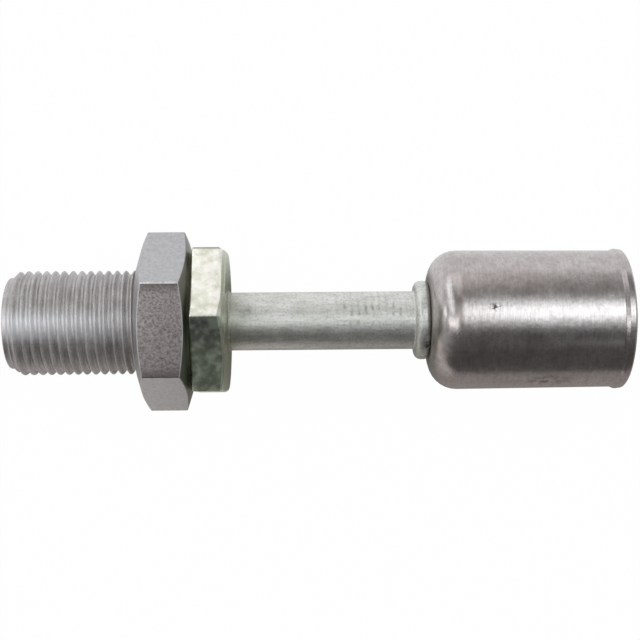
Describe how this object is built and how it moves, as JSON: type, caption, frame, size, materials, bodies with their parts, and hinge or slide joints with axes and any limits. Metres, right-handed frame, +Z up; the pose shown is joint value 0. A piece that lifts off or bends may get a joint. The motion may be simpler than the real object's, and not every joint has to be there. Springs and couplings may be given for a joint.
{
  "type": "bulkhead crimp hose fitting",
  "caption": "Straight bulkhead fitting for a refrigerant hose: long male thread with jam nut, hexagonal collar, brazed tube and a crimp ferrule over a barbed stem.",
  "frame": {"origin": "on the fitting's axis, in the plane of the collar's seat against the bulkhead", "axes": "+X along the axis from the threaded port to the hose end, +Z up as the fitting lies at rest, +Y to complete a right-handed frame"},
  "size_m": [0.1104, 0.0326, 0.0288],
  "materials": {
    "green_zinc": "turned steel, zinc plated with a yellow-green passivation",
    "pale_zinc": "drawn steel tube, pale zinc plate",
    "clear_zinc": "steel, clear zinc plate",
    "drawn_steel": "drawn steel shell, bright plate"
  },
  "bodies": {
    "fitting": {"fitting_body": "green_zinc", "stem_tube": "pale_zinc", "braze_fillet": "pale_zinc"},
    "nut": {"jam_nut": "clear_zinc"},
    "ferrule": {"ferrule": "drawn_steel"}
  },
  "joints": [
    {"name": "nut_travel", "type": "slide", "parent": "fitting", "child": "nut", "axis": [-1, 0, 0], "range_m": [0, 0.03334]},
    {"name": "ferrule_turn", "type": "hinge", "parent": "fitting", "child": "ferrule", "pos_m": [0.0595, 0, 0], "axis": [1, 0, 0], "continuous": true}
  ]
}
